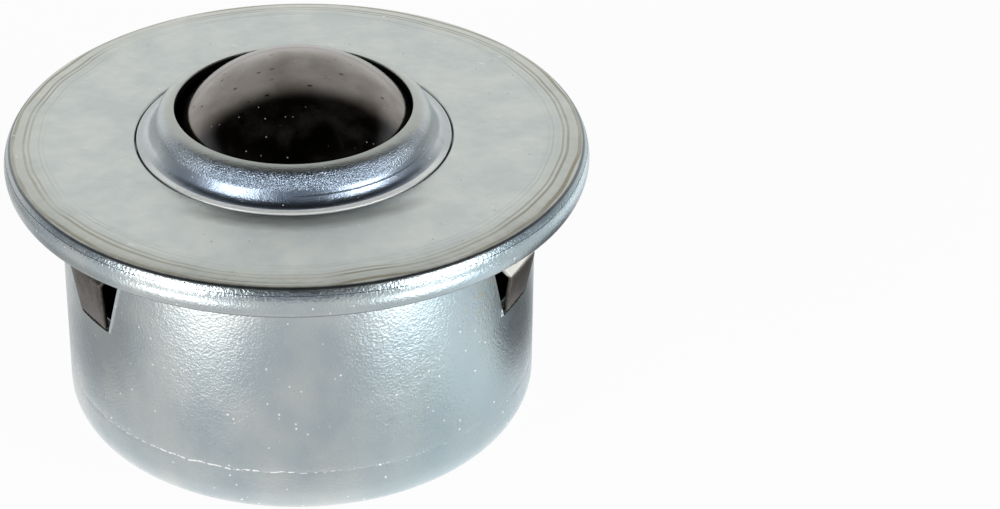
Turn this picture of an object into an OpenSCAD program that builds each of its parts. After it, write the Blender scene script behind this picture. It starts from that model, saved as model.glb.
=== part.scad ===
// Ball transfer unit with a drawn sheet-steel housing and three snap-in claws.
// +Z is up, the origin is the centre of the flat base, and -Y is the front.

/* [Load ball] */
// Diameter of the load ball, 7/8 inch
ball_d = 22.225; // [22:0.005:25.4]
// Height of the ball's crown above the top plate
ball_rise = 6.2; // [5:0.1:6.4]

/* [Support balls and cup] */
// Diameter of one support ball
support_d = 3; // [2.4:0.1:3]
// Wall of the hardened support cup
cup_t = 1.6; // [1.2:0.1:2]
// Height of the foot under the cup
cup_foot_h = 2; // [1.4:0.1:3]
// Diameter of the foot
cup_foot_d = 12; // [8:0.5:16]
// Thickness of the cup's rim flange
cup_rim_t = 0.8; // [0.5:0.1:1.2]

/* [Housing] */
// Sheet thickness of the drawn housing
sheet_t = 0.85; // [0.7:0.05:1]
// Radial room between the cup and the housing wall, which the claws spring into
claw_room = 1.7175; // [1.5:0.0025:2.4]
// Outer radius of the drawn bottom corner
base_corner_r = 2.9; // [2:0.1:4]
// Width of the flange outside the housing wall
flange_w = 4.1; // [3.5:0.1:6]
// Fillet between the wall and the flange
flange_fillet_r = 0.7; // [0.4:0.1:1]
// Wall of the rim that is crimped round the stack of plates
rim_t = 0.6; // [0.5:0.05:0.8]
// Radius of the rim's upper edge
rim_top_r = 1.3; // [1:0.1:1.6]
// Radius of the rim's lower edge
rim_low_r = 0.6; // [0.4:0.05:0.8]

/* [Top plate] */
// Thickness of the top plate
plate_t = 0.9; // [0.7:0.05:1.2]
// Rounding of the edge of its centre hole
plate_hole_edge_r = 0.25; // [0.1:0.05:0.4]

/* [Retaining cap] */
// Sheet thickness of the cap
cap_t = 0.65; // [0.5:0.05:0.7]
// Height of the cap's lip above the top plate
cap_rise = 2.54; // [2.2:0.02:3]
// Radial gap between the ball and the lip's upper edge
ball_gap = 0.9; // [0.8:0.05:1.2]
// Width of the flat lip
lip_w = 0.78; // [0.5:0.02:1.2]
// Rounding of the lip's inner edge
lip_edge_r = 0.15; // [0.05:0.05:0.25]
// Outer radius of the shoulder below the lip
shoulder_r = 0.75; // [0.72:0.01:1]
// Slope of the cap's wall
cap_wall_angle = 66; // [60:1:75]
// Height of the flared foot of the cap, at 45 degrees
cap_foot_h = 1.05; // [0.7:0.05:1.2]

/* [Claws] */
// Thickness of the spring steel
claw_t = 0.35; // [0.25:0.05:0.45]
// Width of a claw from its root to its ridge
claw_w = 4.3; // [3.5:0.1:5]
// Width of a claw's tip
claw_tip_w = 3.6; // [3:0.1:4]
// How far a claw's ridge stands out of the housing wall
claw_ridge_out = 0.8; // [0.5:0.05:1]
// How far a claw's tip stands out of the housing wall
claw_tip_out = 0.2; // [0.1:0.05:0.3]
// Depth of the ridge below the flange, which is the thickest deck that the claws grip
claw_ridge_drop = 4.05; // [3.6:0.05:5]
// Height of the lead-in between the tip and the ridge
claw_lead_h = 3.4; // [2.8:0.1:4]
// Slope of the gripping shoulder above the ridge, from the vertical
claw_shoulder_angle = 50; // [42:1:55]
// Extra width of a window's top over its bottom
window_flare = 3.4; // [2:0.1:4]

/* [Clearances] */
// Running clearance of the balls
ball_clearance = 0.06; // [0.04:0.01:0.1]
// Gap between a sheet part's edge and what it lies in
sheet_clearance = 0.05; // [0.02:0.01:0.1]
// Clearance of a claw's root in the housing
claw_clearance = 0.06; // [0.05:0.01:0.1]
// Gap on each side of a claw's tip in its window
claw_side_gap = 0.2; // [0.1:0.05:0.4]
// Gap above and below a claw in its window
claw_end_gap = 0.3; // [0.2:0.05:0.5]

/* [Hidden] */
$fn = 96;
eps = 0.01;

ball_r = ball_d / 2;
support_r = support_d / 2;

// Raceway: the support balls run on a sphere between the load ball and the cup
race_r = ball_r + ball_clearance + support_r;
cup_in_r = race_r + support_r + ball_clearance;
cup_out_r = cup_in_r + cup_t;
row_pitch = 2 * asin((support_d + ball_clearance) / 2 / race_r);

// Heights, from the base up
floor_z = sheet_t;
ball_z = floor_z + cup_foot_h + cup_out_r;
plate_z = ball_z + ball_r - ball_rise;
brim_top_z = plate_z - plate_t;
brim_z = brim_top_z - cap_t;
flange_top_z = brim_z - claw_t;
flange_z = flange_top_z - sheet_t;
lip_z = plate_z + cap_rise;

// Radii of the housing and its rim
wall_in_r = cup_out_r + claw_room;
wall_r = wall_in_r + sheet_t;
flange_r = wall_r + flange_w;
rim_in_r = flange_r - rim_t;
stack_r = rim_in_r - sheet_clearance;
bend_r = 0.4;

// Radii of the cap
lip_r = sqrt(ball_r * ball_r - (lip_z - ball_z) * (lip_z - ball_z)) + ball_gap;
shoulder_w = shoulder_r * sin(cap_wall_angle);
shoulder_h = shoulder_r * (1 - cos(cap_wall_angle));
cap_wall_h = cap_rise - cap_foot_h - shoulder_h;
neck_r = lip_r + lip_w + shoulder_w + cap_wall_h / tan(cap_wall_angle) + cap_foot_h;

// Claws: flat root with its edges just inside the round wall, ridge and tip outside it
claw_root_r = sqrt(pow(wall_in_r - claw_clearance, 2) - pow(claw_w / 2, 2));
claw_root_z = flange_top_z - claw_clearance;
claw_ridge_r = wall_r + claw_ridge_out;
claw_ridge_z = flange_z - claw_ridge_drop;
claw_bend_z = claw_ridge_z + (claw_ridge_r - claw_root_r) / tan(claw_shoulder_angle);
claw_tip_r = wall_r + claw_tip_out;
claw_tip_z = claw_ridge_z - claw_lead_h;
claw_angles = [-150, -30, 90];
window_low_z = claw_tip_z - claw_end_gap;
window_top_z = claw_bend_z + claw_end_gap;
window_low_w = claw_tip_w + 2 * claw_side_gap;
window_top_w = window_low_w + window_flare;

// Points of an arc about c from angle a to angle b
function arc(c, r, a, b, n = 12) =
    [for (i = [0 : n]) let (t = a + (b - a) * i / n) c + r * [cos(t), sin(t)]];

// Unit normal to the right of the way from p to q
function right(p, q) = let (d = (q - p) / norm(q - p)) [d.y, -d.x];

// The path shifted by t to its right, with mitred corners
function inset(path, t) =
    let (last = len(path) - 1)
    [for (i = [0 : last])
        let (m = right(path[max(i - 1, 0)], path[max(i, 1)]),
             n = right(path[min(i, last - 1)], path[min(i + 1, last)]))
        path[i] + t * (m + n) / (1 + m * n)];

function reversed(path) = [for (i = [len(path) - 1 : -1 : 0]) path[i]];

// A sheet of thickness t on the right of the path
function sheet(path, t) = concat(path, reversed(inset(path, t)));

// Angle at which the rim's upper rounding reaches radius r
function rim_angle(r) = acos((r - (flange_r - rim_top_r)) / rim_top_r);

module revolve(points) {
    rotate_extrude() polygon(points);
}

module housing_shell() {
    revolve(concat(
        [[0, 0]],
        arc([wall_r - base_corner_r, base_corner_r], base_corner_r, -90, 0),
        arc([wall_r + flange_fillet_r, flange_z - flange_fillet_r], flange_fillet_r, 180, 90),
        arc([flange_r - rim_low_r, flange_z + rim_low_r], rim_low_r, -90, 0),
        arc([flange_r - rim_top_r, plate_z - rim_top_r], rim_top_r, 0, rim_angle(rim_in_r)),
        [[rim_in_r, flange_top_z]],
        arc([wall_in_r + bend_r, flange_top_z - bend_r], bend_r, 90, 180),
        arc([wall_r - base_corner_r, base_corner_r], base_corner_r - sheet_t, 0, -90),
        [[0, floor_z]]
    ));
}

// One claw window: a wedge that widens upwards, through the wall on the +X side
module claw_window() {
    translate([wall_in_r - sheet_t, 0, 0])
        rotate([90, 0, 90])
            linear_extrude(3 * sheet_t)
                polygon([[-window_low_w / 2, window_low_z], [window_low_w / 2, window_low_z],
                         [window_top_w / 2, window_top_z], [-window_top_w / 2, window_top_z]]);
}

module housing() {
    color([0.66, 0.70, 0.74])
        difference() {
            housing_shell();
            for (a = claw_angles) rotate([0, 0, a]) claw_window();
        }
}

module top_plate() {
    hole_r = neck_r + sheet_clearance;
    rim_centre = [flange_r - rim_top_r, plate_z - rim_top_r];
    color([0.66, 0.67, 0.64])
        revolve(concat(
            [[hole_r, brim_top_z], [stack_r, brim_top_z]],
            arc(rim_centre, rim_top_r, rim_angle(stack_r), 90),
            arc([hole_r + plate_hole_edge_r, plate_z - plate_hole_edge_r], plate_hole_edge_r, 90, 180)
        ));
}

module retaining_cap() {
    shoulder_centre = [lip_r + lip_w, lip_z - shoulder_r];
    face = concat(
        arc(shoulder_centre, shoulder_r, 90, 90 - cap_wall_angle),
        [[neck_r - cap_foot_h, plate_z + cap_foot_h], [neck_r, plate_z],
         [neck_r, brim_top_z], [stack_r, brim_top_z]]
    );
    edge = arc([lip_r + lip_edge_r, lip_z - lip_edge_r], lip_edge_r, 180, 90);
    color([0.62, 0.66, 0.72])
        revolve(concat(edge, face, reversed(inset(face, cap_t)), [[lip_r, lip_z - cap_t]]));
}

module support_cup() {
    color([0.45, 0.45, 0.47])
        difference() {
            union() {
                intersection() {
                    translate([0, 0, ball_z]) sphere(cup_out_r);
                    cylinder(r = cup_out_r + eps, h = brim_z);
                }
                translate([0, 0, brim_z - cup_rim_t])
                    cylinder(r = claw_root_r - claw_t - claw_side_gap, h = cup_rim_t);
                translate([0, 0, floor_z]) cylinder(d = cup_foot_d, h = cup_foot_h + cup_t);
            }
            translate([0, 0, ball_z]) sphere(cup_in_r);
        }
}

module claw_ring() {
    color([0.42, 0.40, 0.38])
        revolve([[claw_root_r - claw_t, flange_top_z], [stack_r, flange_top_z],
                 [stack_r, brim_z], [claw_root_r - claw_t, brim_z]]);
}

// One claw on the +X side: a bent strip, narrowed from its ridge to its tip
module claw() {
    strip = sheet([[claw_root_r, claw_root_z], [claw_root_r, claw_bend_z],
                   [claw_ridge_r, claw_ridge_z], [claw_tip_r, claw_tip_z]], claw_t);
    color([0.42, 0.40, 0.38])
        intersection() {
            rotate([90, 0, 0]) linear_extrude(claw_w, center = true) polygon(strip);
            rotate([90, 0, 90]) linear_extrude(flange_r)
                polygon([[-claw_tip_w / 2, claw_tip_z - claw_t], [claw_tip_w / 2, claw_tip_z - claw_t],
                         [claw_w / 2, claw_ridge_z], [claw_w / 2, flange_top_z],
                         [-claw_w / 2, flange_top_z], [-claw_w / 2, claw_ridge_z]]);
        }
}

module load_ball() {
    color([0.60, 0.58, 0.56]) translate([0, 0, ball_z]) sphere(d = ball_d);
}

// A support ball in the raceway, tilt degrees away from its lowest point
module support_ball(tilt) {
    translate([0, 0, ball_z]) rotate([0, -tilt, 0]) translate([0, 0, -race_r]) sphere(d = support_d);
}

module pole_ball() {
    color([0.70, 0.70, 0.72]) support_ball(0);
}

// The k-th ring of support balls, as many as fit side by side
module support_row(k) {
    tilt = k * row_pitch;
    step = 2 * asin((support_d + ball_clearance) / 2 / (race_r * sin(tilt)) * (1 - eps));
    count = floor(360 / step);
    color([0.70, 0.70, 0.72])
        for (i = [0 : count - 1]) rotate([0, 0, i * 360 / count]) support_ball(tilt);
}

housing();
top_plate();
retaining_cap();
support_cup();
claw_ring();
rotate([0, 0, claw_angles[0]]) claw();  // claw_left
rotate([0, 0, claw_angles[1]]) claw();  // claw_right
rotate([0, 0, claw_angles[2]]) claw();  // claw_rear
load_ball();
pole_ball();
support_row(1);  // support_row_1
support_row(2);  // support_row_2
support_row(3);  // support_row_3
support_row(4);  // support_row_4
support_row(5);  // support_row_5
support_row(6);  // support_row_6
support_row(7);  // support_row_7
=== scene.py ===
"""Looks of a ball transfer unit: its sheet-metal pieces, their finishes and a plain studio.

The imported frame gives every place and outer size. Lengths here are in millimetres unless a
name says otherwise, and meshes are made in metres in the frame's own axes: +Z is up out
through the load ball and -Y is the front.
"""

import logging
import math
import random
from collections.abc import Callable
from dataclasses import dataclass, field
from enum import Enum

import bmesh
import bpy
from mathutils import Matrix, Vector, noise

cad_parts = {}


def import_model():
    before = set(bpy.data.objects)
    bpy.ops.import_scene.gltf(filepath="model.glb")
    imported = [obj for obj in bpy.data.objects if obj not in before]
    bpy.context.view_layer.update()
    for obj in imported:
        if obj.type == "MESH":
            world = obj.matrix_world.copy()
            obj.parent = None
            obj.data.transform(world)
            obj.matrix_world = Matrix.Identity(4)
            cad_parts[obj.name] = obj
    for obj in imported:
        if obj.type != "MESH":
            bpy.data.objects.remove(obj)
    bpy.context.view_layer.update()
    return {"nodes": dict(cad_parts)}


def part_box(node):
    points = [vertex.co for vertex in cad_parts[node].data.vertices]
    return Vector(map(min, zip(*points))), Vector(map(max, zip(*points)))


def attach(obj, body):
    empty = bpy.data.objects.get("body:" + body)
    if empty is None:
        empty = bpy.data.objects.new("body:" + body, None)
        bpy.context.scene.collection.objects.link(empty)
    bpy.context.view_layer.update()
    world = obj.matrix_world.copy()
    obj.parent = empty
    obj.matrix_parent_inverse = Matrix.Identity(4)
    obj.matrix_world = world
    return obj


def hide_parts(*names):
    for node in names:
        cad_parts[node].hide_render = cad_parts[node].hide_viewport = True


MM = 0.001
FULL_TURN = 2 * math.pi
# Points closer than TINY count as one, and an edge that turns by more than CREASE_DEG stays crisp.
TINY = 1e-5
CREASE_DEG = 35.0

log = logging.getLogger("ball_transfer_unit")

Point = tuple[float, float]
Place = tuple[float, float, float]
Rgba = tuple[float, float, float, float]
Tree = bpy.types.NodeTree
Node = bpy.types.Node
Socket = bpy.types.NodeSocket
Rows = list[list[bmesh.types.BMVert]]


# ---------------------------------------------------------------- colour and nodes


def linear(hex_colour: str) -> Rgba:
    """Turns an sRGB hex colour into the linear values that a shader takes.

    Args:
        hex_colour: A colour such as "#C0C4C8".

    Returns:
        Linear red, green and blue, with an alpha of 1.
    """
    channels = [int(hex_colour[i : i + 2], 16) / 255 for i in (1, 3, 5)]
    toe, slope, shift, power = 0.04045, 12.92, 0.055, 2.4
    return (*[c / slope if c <= toe else ((c + shift) / (1 + shift)) ** power for c in channels], 1.0)


def feed(tree: Tree, node: Node, inputs: dict) -> None:
    """Gives a node's inputs their values and links.

    Args:
        tree: The node's tree.
        node: The node.
        inputs: A value, a node or a node's output for each input, by name or number. A node
            stands for the first of its outputs that is in use.
    """
    for name, value in inputs.items():
        if isinstance(value, bpy.types.Node):
            value = next(output for output in value.outputs if output.enabled)
        if isinstance(value, bpy.types.NodeSocket):
            tree.links.new(value, node.inputs[name])
        else:
            node.inputs[name].default_value = value


def add(tree: Tree, kind: str, inputs: dict | None = None, **settings) -> Node:
    """Adds one node with its settings and links.

    Args:
        tree: The node tree that gets the node.
        kind: The node's type, without the leading "ShaderNode".
        inputs: What each input gets, as feed() takes it.
        settings: The node's own options. "stops" gives a colour ramp its (place, colour) pairs.

    Returns:
        The new node.
    """
    made = tree.nodes.new("ShaderNode" + kind)
    stops = settings.pop("stops", ())
    for key, value in settings.items():
        setattr(made, key, value)
    for place, (where, colour) in enumerate(stops):
        element = made.color_ramp.elements[place] if place < 2 else made.color_ramp.elements.new(where)
        element.position, element.color = where, colour
    feed(tree, made, inputs or {})
    return made


def blank_tree(owner: bpy.types.Material | bpy.types.World) -> Tree:
    """Empties the node tree of a material or a world and returns it."""
    owner.use_nodes = True
    owner.node_tree.nodes.clear()
    return owner.node_tree


def millimetres(tree: Tree) -> Node:
    """Finds the point on the object, in millimetres."""
    place = add(tree, "TexCoord").outputs["Object"]
    return add(tree, "VectorMath", {0: place, "Scale": 1 / MM}, operation="SCALE")


def off_axis(tree: Tree, place: Node) -> Node:
    """Measures how far a point is from the Z axis."""
    flat = add(tree, "VectorMath", {0: place, 1: (1.0, 1.0, 0.0)}, operation="MULTIPLY")
    return add(tree, "VectorMath", {0: flat}, operation="LENGTH")


def around(tree: Tree, place: Node, middle: Place, reach: Point) -> Node:
    """Marks what lies round a middle, from 0 at the first reach to 1 at the second."""
    away = add(tree, "VectorMath", {0: place, 1: middle}, operation="DISTANCE")
    return add(tree, "MapRange", {"Value": away, "From Min": reach[0], "From Max": reach[1]})


def overlap(tree: Tree, first: Node, *others: Node) -> Node:
    """Marks where all of several marks meet."""
    for other in others:
        first = add(tree, "Math", {0: first, 1: other}, operation="MULTIPLY")
    return first


def painted(tree: Tree, base: Node, coats: list[tuple[Node | Socket, str]]) -> Node:
    """Lays coats of colour over another colour.

    Args:
        tree: The tree of nodes.
        base: The colour below the coats.
        coats: Where each coat lies and its sRGB hex colour, from the lowest coat up.

    Returns:
        The colour with all its coats.
    """
    for mark, tone in coats:
        base = add(tree, "Mix", {"Factor": mark, "A": base, "B": linear(tone)}, data_type="RGBA")
    return base


def spots(tree: Tree, place: Node, pitch: float, bar: float | Node, dot: Point) -> Node:
    """Scatters spots.

    Args:
        tree: The finish's node tree.
        place: The point on the object.
        pitch: How far apart the places for a spot are, in millimetres.
        bar: A place has a spot where the lot that it draws, from 0 to 1, is above this.
        dot: Radius at which a spot ends and the one at which it is full, as shares of the pitch.

    Returns:
        Up to 1 on a spot and 0 off it.
    """
    cells = add(tree, "TexVoronoi", {"Vector": place, "Scale": 1 / pitch})
    lot = add(tree, "SeparateXYZ", {0: cells.outputs["Color"]}).outputs["X"]
    chosen = add(tree, "Math", {0: lot, 1: bar}, operation="GREATER_THAN")
    spot = add(tree, "MapRange", {"Value": cells, "From Min": dot[0], "From Max": dot[1]})
    return overlap(tree, chosen, spot)


# ---------------------------------------------------------------- outlines and meshes


def arc(centre: Point, radius: float, start: float, stop: float, steps: int = 12) -> list[Point]:
    """Points of a circular arc.

    Args:
        centre: The arc's centre.
        radius: Its radius.
        start: The first point's angle in degrees.
        stop: The last point's angle in degrees.
        steps: How many chords the arc has.

    Returns:
        The points in order, both ends included.
    """
    angles = [math.radians(start + (stop - start) * i / steps) for i in range(steps + 1)]
    return [(centre[0] + radius * math.cos(a), centre[1] + radius * math.sin(a)) for a in angles]


def facing(start: Point, radius: float, start_deg: float, stop_deg: float, steps: int = 12) -> list[Point]:
    """Points of a bend that begins at a point, told by which way its surface faces.

    Args:
        start: The first point.
        radius: The bend's radius, negative where the bend is hollow.
        start_deg: Angle above the horizontal that the surface faces at the first point.
        stop_deg: The same at the last point.
        steps: How many chords the bend has.

    Returns:
        The points in order, both ends included.
    """
    angle = math.radians(start_deg)
    centre = (start[0] - radius * math.cos(angle), start[1] - radius * math.sin(angle))
    return arc(centre, radius, start_deg, stop_deg, steps)


def hollow_radii(way: Point, degrees: tuple[float, float, float]) -> Point:
    """Radii of two hollow bends in a row that together cover a way.

    Args:
        way: How far out and up the second bend ends from where the first begins.
        degrees: Which way the surface faces at the start, between the bends and at the end.

    Returns:
        The radius of each bend.
    """
    turns = [Vector((math.cos(math.radians(d)), math.sin(math.radians(d)))) for d in degrees]
    first, second = turns[0] - turns[1], turns[1] - turns[2]
    whole = first.x * second.y - first.y * second.x
    return (way[0] * second.y - way[1] * second.x) / whole, (first.x * way[1] - first.y * way[0]) / whole


def straight(start: Point, stop: Point, step: float) -> list[Point]:
    """Points on a straight line, no further apart than a step, both ends included."""
    count = max(1, math.ceil(math.dist(start, stop) / step))
    return [tuple(a + (b - a) * i / count for a, b in zip(start, stop)) for i in range(count + 1)]


def joined(*runs: list[Point]) -> list[Point]:
    """Runs of points end to end, without the points that repeat."""
    points: list[Point] = []
    for point in (p for run in runs for p in run):
        if not points or math.dist(point, points[-1]) > TINY:
            points.append(point)
    return points


def new_piece(name: str, mesh: bmesh.types.BMesh, *materials: bpy.types.Material) -> bpy.types.Object:
    """Turns a mesh in millimetres into a smooth-shaded object in metres, with crisp creases.

    Args:
        name: The piece's name.
        mesh: The mesh, which is used up.
        materials: What its faces are made of, in the order of their material numbers.

    Returns:
        The object, linked to the scene.
    """
    bmesh.ops.scale(mesh, vec=Vector((MM, MM, MM)), verts=mesh.verts)
    bmesh.ops.recalc_face_normals(mesh, faces=mesh.faces)
    data = bpy.data.meshes.new(name)
    mesh.to_mesh(data)
    mesh.free()
    for material in materials:
        data.materials.append(material)
    data.shade_smooth()
    data.set_sharp_from_angle(angle=math.radians(CREASE_DEG))
    piece = bpy.data.objects.new(name, data)
    bpy.context.scene.collection.objects.link(piece)
    return piece


def revolved(
    section: list[Point],
    turns: Callable[[Point, int], float],
    sectors: int,
    shift: Callable[[Point, float], Point] = lambda point, angle: point,
) -> tuple[bmesh.types.BMesh, Rows]:
    """Turns a closed section about the Z axis.

    Args:
        section: Radius and height of each point, in order round the section.
        turns: Gives the angle in radians of a point's copy in a sector.
        sectors: How many copies go round.
        shift: Moves a copy a little, given the section point and the angle.

    Returns:
        The mesh, and its vertices by section point and sector.
    """
    mesh = bmesh.new()
    rows = []
    for point in section:
        row = []
        for sector in range(sectors):
            angle = turns(point, sector)
            radius, height = shift(point, angle)
            row.append(mesh.verts.new((radius * math.cos(angle), radius * math.sin(angle), height)))
        rows.append(row)
    for row, following in zip(rows, rows[1:] + rows[:1]):
        for sector in range(sectors):
            after = (sector + 1) % sectors
            mesh.faces.new((row[sector], row[after], following[after], following[sector]))
    return mesh, rows


def even_turns(sectors: int) -> Callable[[Point, int], float]:
    """Angles that share a full turn evenly."""
    return lambda point, sector: FULL_TURN * sector / sectors


def ring_noise(angle: float, radius: float, feature_mm: float, seed: float) -> float:
    """Smooth noise from -1 to 1 that runs round a ring and meets itself."""
    place = Vector((math.cos(angle), math.sin(angle), 0)) * radius / feature_mm
    return noise.noise(place + Vector((0, 0, seed)))


def shift_crown(mesh: bmesh.types.BMesh, shift: float, inner_r: float, outer_r: float) -> None:
    """Moves the middle of a turned sheet sideways, less and less towards its edge.

    Args:
        mesh: The turned sheet.
        shift: How far the middle goes along X.
        inner_r: The radius up to which it goes all the way.
        outer_r: The radius from which it stays.
    """
    for vert in mesh.verts:
        radius = math.hypot(vert.co.x, vert.co.y)
        vert.co.x += shift * min(1.0, max(0.0, (outer_r - radius) / (outer_r - inner_r)))


# ---------------------------------------------------------------- finishes


class Finish:
    """What every finish shares: how its node tree starts and ends."""

    name = "finish"

    def material(self) -> bpy.types.Material:
        """Makes the material, with its own nodes from dress()."""
        made = bpy.data.materials.new(self.name)
        tree = blank_tree(made)
        shader = add(tree, "BsdfPrincipled")
        self.dress(tree, millimetres(tree), shader)
        add(tree, "OutputMaterial", {"Surface": shader})
        return made

    def dress(self, tree: Tree, place: Node, shader: Node) -> None:
        """Adds the finish's own nodes; place is the point on the object in millimetres."""
        raise NotImplementedError


@dataclass(frozen=True)
class ZincPlating(Finish):
    """Bright zinc plating with clear passivation on cold-formed sheet steel.

    It gives the eye a satin, faintly blue metal whose fine crystals mottle the light and catch
    it here and there as white specks.
    """

    name: str = "zinc_plated_drawn_steel"
    tone: str = "#BCC3C4"
    film: str = "#AFB8BC"
    cloud_mm: float = 3.5
    cloud_stretch: float = 0.45
    roughness: float = 0.34
    roughness_swing: float = 0.06
    peel_mm: float = 0.9
    peel_height: float = 0.03
    crystal_mm: float = 0.16
    crystal_height: float = 0.012
    swarm_mm: float = 2.6
    speck_pitch_mm: float = 0.42
    speck_share: float = 0.10
    speck_dot: Point = (0.26, 0.12)
    speck_height: float = 0.02

    def dress(self, tree: Tree, place: Node, shader: Node) -> None:
        """Mixes the metal's clouds, crystals and specks."""
        drawn = add(tree, "VectorMath", {0: place, 1: (1.0, 1.0, self.cloud_stretch)}, operation="MULTIPLY")
        cloud = add(tree, "TexNoise", {"Vector": drawn, "Scale": 1 / self.cloud_mm, "Detail": 5.0})
        peel = add(tree, "TexNoise", {"Vector": place, "Scale": 1 / self.peel_mm, "Detail": 2.0})
        crystal = add(tree, "TexNoise", {"Vector": place, "Scale": 1 / self.crystal_mm, "Detail": 1.0})
        speck = self.specks(tree, place)
        tones = ((0.38, linear(self.film)), (0.62, linear(self.tone)))
        metal = add(tree, "ValToRGB", {"Fac": cloud}, stops=tones)
        colour = painted(tree, self.marks(tree, place, metal), [(speck, "#FFFFFF")])
        low, high = self.roughness - self.roughness_swing, self.roughness + self.roughness_swing
        satin = add(tree, "MapRange", {"Value": peel, "To Min": low, "To Max": high})
        relief = add(tree, "Bump", {"Height": peel, "Distance": self.peel_height * MM})
        crystals = {"Height": crystal, "Distance": self.crystal_height * MM, "Normal": relief}
        relief = add(tree, "Bump", {"Strength": self.crystal_strength(tree, place), **crystals})
        relief = add(tree, "Bump", {"Height": speck, "Distance": self.speck_height * MM, "Normal": relief})
        feed(tree, shader, {"Metallic": 1.0, "Base Color": colour, "Roughness": satin, "Normal": relief})

    def specks(self, tree: Tree, place: Node) -> Node:
        """Marks the few crystals that catch the light, in loose swarms."""
        swarm = add(tree, "TexNoise", {"Vector": place, "Scale": 1 / self.swarm_mm, "Detail": 2.0})
        bars = {"To Min": 1.0, "To Max": 1 - self.speck_share * 2}
        bar = add(tree, "MapRange", {"Value": swarm, "From Min": 0.4, "From Max": 0.65, **bars})
        return spots(tree, place, self.speck_pitch_mm, bar, self.speck_dot)

    def marks(self, tree: Tree, place: Node, metal: Node) -> Node:
        """Gives a piece's own marks a chance to colour the metal; the plain plating has none."""
        return metal

    def crystal_strength(self, tree: Tree, place: Node) -> float | Node:
        """How strongly the crystals show, the same all over on the plain plating."""
        return 1.0


@dataclass(frozen=True)
class HousingZinc(ZincPlating):
    """Zinc plating on the deep-drawn pot and its rim.

    It has yellow stains by one claw, a broken bright ring of wear low on the wall, and painted shade in the
    corner under the rim.
    """

    tone: str = "#B6BCBC"
    film: str = "#A6B0B4"
    cloud_mm: float = 4.5
    cloud_stretch: float = 0.8
    roughness: float = 0.29
    crystal_mm: float = 0.2
    crystal_height: float = 0.03
    peel_height: float = 0.018
    speck_share: float = 0.08
    speck_height: float = 0.002
    cool: str = "#A0B6BE"
    cool_x: Point = (1.0, 10.0)
    cool_share: float = 0.6
    stained: str = "#B3AC93"
    stain_spot: Place = (13.6, -12.3, 15.6)
    stain_reach: Point = (3.4, 1.0)
    stain_mm: float = 0.9
    stain_share: float = 0.6
    ring_z: float = 4.6
    ring_w: float = 0.05
    ring_drift: float = 0.3
    ring_drift_mm: float = 1.5
    ring_gap_mm: float = 0.35
    ring_middle: Place = (-7.8, -16.7, 4.6)
    ring_reach: Point = (13.0, 4.0)
    # Painted shade: a dark grey ring low on the rim's curl, where shade falls under the rim.
    under_shade_tone: str = "#3E444A"
    under_z: Point = (21.16, 21.04)
    under_r: float = 21.0
    under_shade_share: float = 0.6

    def marks(self, tree: Tree, place: Node, metal: Node) -> Node:
        """Adds a cooler side, stains beside one claw, a broken bright ring and painted shade under the rim.
        """
        axes = add(tree, "SeparateXYZ", {0: place}).outputs
        start, stop = self.cool_x
        limits = {"Value": axes["X"], "From Min": start, "From Max": stop, "To Max": self.cool_share}
        side = add(tree, "MapRange", limits)
        near = around(tree, place, self.stain_spot, self.stain_reach)
        blot = add(tree, "TexNoise", {"Vector": place, "Scale": 1 / self.stain_mm, "Detail": 3.0})
        limits = {"Value": blot, "From Min": 0.5, "From Max": 0.7, "To Max": self.stain_share}
        blot = add(tree, "MapRange", limits)
        wander = add(tree, "TexNoise", {"Vector": place, "Scale": 1 / self.ring_drift_mm, "Detail": 3.0})
        limits = {"Value": wander, "To Min": -self.ring_drift, "To Max": self.ring_drift}
        drift = add(tree, "MapRange", limits)
        level = add(tree, "Math", {0: axes["Z"], 1: drift}, operation="ADD")
        across = add(tree, "Math", {0: level, 1: self.ring_z, 2: self.ring_w}, operation="COMPARE")
        broken = add(tree, "TexNoise", {"Vector": place, "Scale": 1 / self.ring_gap_mm, "Detail": 2.0})
        broken = add(tree, "MapRange", {"Value": broken, "From Min": 0.45, "From Max": 0.55})
        worn = overlap(tree, across, around(tree, place, self.ring_middle, self.ring_reach), broken)
        outside = add(tree, "Math", {0: off_axis(tree, place), 1: self.under_r}, operation="GREATER_THAN")
        start, stop = self.under_z
        limits = {"Value": axes["Z"], "From Min": start, "From Max": stop, "To Max": self.under_shade_share}
        under = add(tree, "MapRange", limits)
        # The dark ring under the rim is painted shade.
        stain, rim_shade = overlap(tree, near, blot), overlap(tree, under, outside)
        coats = [(side, self.cool), (stain, self.stained), (worn, "#FFFFFF"), (rim_shade, self.under_shade_tone)]
        return painted(tree, metal, coats)


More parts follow.
